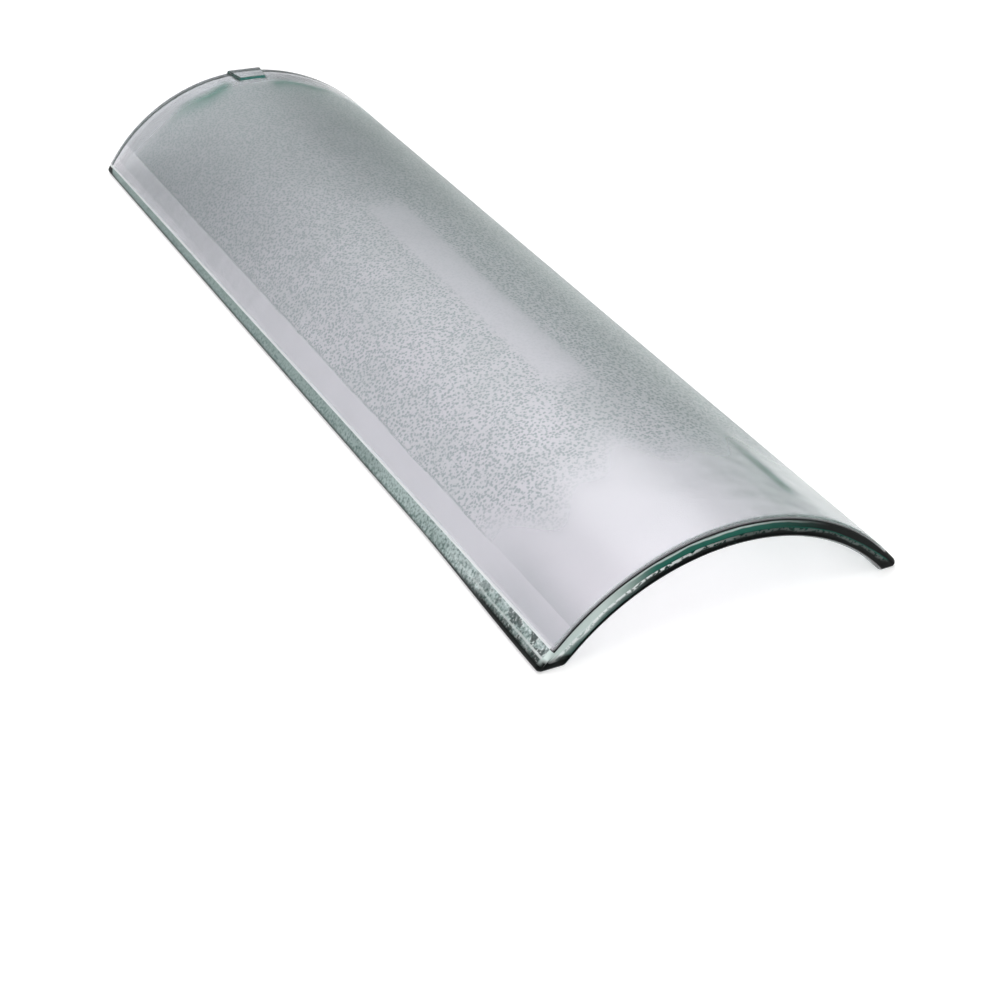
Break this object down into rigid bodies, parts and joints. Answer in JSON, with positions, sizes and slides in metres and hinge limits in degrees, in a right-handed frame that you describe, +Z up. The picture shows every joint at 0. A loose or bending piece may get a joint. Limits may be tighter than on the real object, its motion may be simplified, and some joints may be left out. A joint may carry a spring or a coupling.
{
  "type": "glass roof tile",
  "caption": "Tapered barrel roof tile of pressed glass that lets daylight through, with a low lug on its crown at the wide end.",
  "frame": {"origin": "middle of the bounding box, at the level of the two feet that the tile lies on", "axes": "+Y along the tile from the narrow end to the wide end, +Z up out of the arch, +X across"},
  "size_m": [0.17, 0.52, 0.052],
  "materials": {
    "glass": "pressed, finely stippled on the outside, clear at the edges"
  },
  "bodies": {
    "root": {"glass_tile": "glass"}
  },
  "joints": []
}
